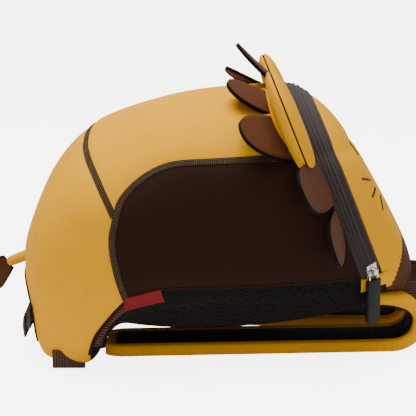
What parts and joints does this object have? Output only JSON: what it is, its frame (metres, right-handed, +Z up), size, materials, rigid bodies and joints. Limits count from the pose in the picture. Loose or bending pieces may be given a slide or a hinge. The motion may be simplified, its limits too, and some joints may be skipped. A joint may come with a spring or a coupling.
{
  "type": "kids animal backpack",
  "caption": "Child's neoprene backpack shaped as a maned animal, with a zipped face, padded shoulder straps, ears, tail and carry handle, lying on its straps.",
  "frame": {"origin": "on the floor under the middle of the bag's box", "axes": "+X from the tail to the face, +Y towards the wearer's left, +Z up as the bag lies on its straps"},
  "size_m": [0.398, 0.2714, 0.2386],
  "materials": {
    "yellow_neoprene": "matt knitted face over closed-cell foam",
    "brown_neoprene": "matt knitted face over closed-cell foam",
    "dark_neoprene": "matt knitted face over closed-cell foam",
    "spacer_mesh": "open knitted spacer mesh",
    "zip_cloth": "woven polyester tape",
    "webbing": "ribbed polypropylene webbing",
    "slide_plastic": "moulded, slight sheen",
    "pull_rubber": "soft moulded PVC",
    "slider_metal": "nickel-plated die casting",
    "woven_label": "satin woven tape"
  },
  "bodies": {
    "bag": {"body_top": "yellow_neoprene", "rump_panel": "yellow_neoprene", "side_panel_right": "dark_neoprene", "side_panel_left": "dark_neoprene", "back_panel": "spacer_mesh", "zipper_tape": "zip_cloth", "face_dome": "yellow_neoprene", "muzzle": "brown_neoprene", "ear_right": "yellow_neoprene", "ear_left": "yellow_neoprene", "mane_petal_1": "brown_neoprene", "mane_petal_2": "brown_neoprene", "mane_petal_3": "brown_neoprene", "mane_petal_4": "brown_neoprene", "mane_petal_5": "brown_neoprene", "mane_petal_6": "brown_neoprene", "mane_petal_7": "brown_neoprene", "mane_petal_8": "brown_neoprene", "mane_petal_9": "brown_neoprene", "strap_right": "yellow_neoprene", "strap_mesh_right": "spacer_mesh", "webbing_right": "webbing", "strap_slide_right": "slide_plastic", "hip_loop_right": "webbing", "strap_left": "yellow_neoprene", "strap_mesh_left": "spacer_mesh", "webbing_left": "webbing", "strap_slide_left": "slide_plastic", "hip_loop_left": "webbing", "carry_handle": "webbing", "tail": "yellow_neoprene", "tail_tuft": "brown_neoprene", "zip_slider": "slider_metal", "zip_end_tab_right": "yellow_neoprene", "zip_end_tab_left": "yellow_neoprene", "side_label": "woven_label"},
    "zip_pull": {"zip_link": "slider_metal", "zip_tag": "pull_rubber"}
  },
  "joints": [
    {"name": "pull_swing", "type": "hinge", "parent": "bag", "child": "zip_pull", "pos_m": [0.12502, -0.08291, 0.07312], "axis": [-0.79, -0.6002, -0.1251], "range_deg": [0, 150]}
  ]
}
